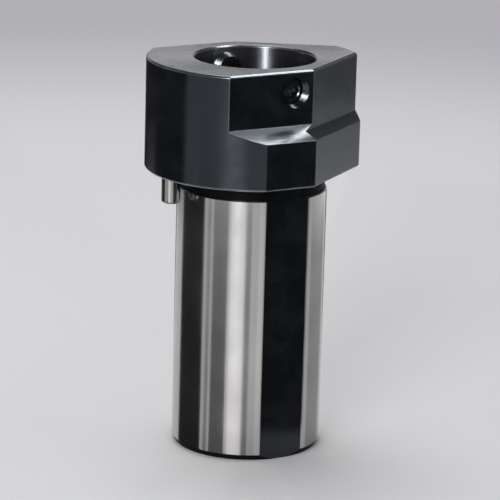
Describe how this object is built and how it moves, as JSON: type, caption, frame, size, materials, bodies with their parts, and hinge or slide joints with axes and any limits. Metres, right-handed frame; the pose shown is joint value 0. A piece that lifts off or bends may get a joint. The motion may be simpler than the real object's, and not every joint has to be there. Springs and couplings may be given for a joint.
{
  "type": "tool adapter sleeve",
  "caption": "Flanged steel adapter sleeve with a ground round shank, long clamping flat, through bore, faceted head, socket set screws and an index pin.",
  "frame": {"origin": "centre of the shank's end face, on the sleeve's axis", "axes": "+Z along the sleeve's axis towards the head's front face; the clamping flat and the front set screw face -Y; the index pin stands on the -X side"},
  "size_m": [0.0576, 0.0532, 0.1055],
  "materials": {
    "blackened_steel": "black oxide, satin, on turned and milled steel",
    "ground_steel": "cylindrically ground, bright",
    "hardened_pin_steel": "hardened and ground, bright",
    "screw_steel": "black oxide, slightly oiled"
  },
  "bodies": {
    "root": {"sleeve_body": "blackened_steel", "index_pin": "hardened_pin_steel", "set_screw_front": "screw_steel", "set_screw_rear": "screw_steel"}
  },
  "joints": []
}
